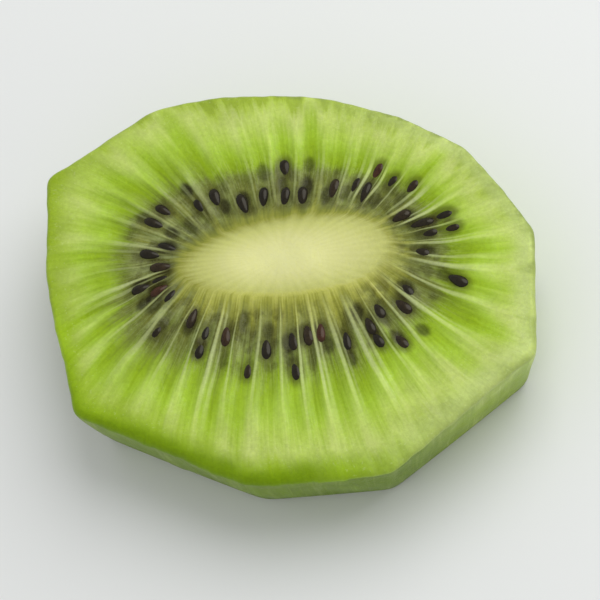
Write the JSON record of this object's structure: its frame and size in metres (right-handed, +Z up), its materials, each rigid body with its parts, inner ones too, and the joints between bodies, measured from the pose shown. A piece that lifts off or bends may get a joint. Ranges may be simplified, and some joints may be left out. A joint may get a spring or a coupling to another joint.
{
  "type": "kiwi slice",
  "caption": "Hand-cut slice of peeled green kiwi fruit lying flat: a thick oval disc with a knife-peeled, faceted edge, a pale core, fine rays and a ring of dark seeds.",
  "frame": {"origin": "on the surface that the slice lies on, below the middle of its bounding box", "axes": "+X along the slice's longest way across, which is the long way of its oval core; +Y across it, towards the side that the core lies nearer to; +Z up, out of the larger cut face"},
  "size_m": [0.0518, 0.043, 0.0109],
  "materials": {
    "kiwi_flesh": "satin",
    "kiwi_seed": "gloss"
  },
  "bodies": {
    "root": {"kiwi_slice": "kiwi_flesh"}
  },
  "joints": []
}
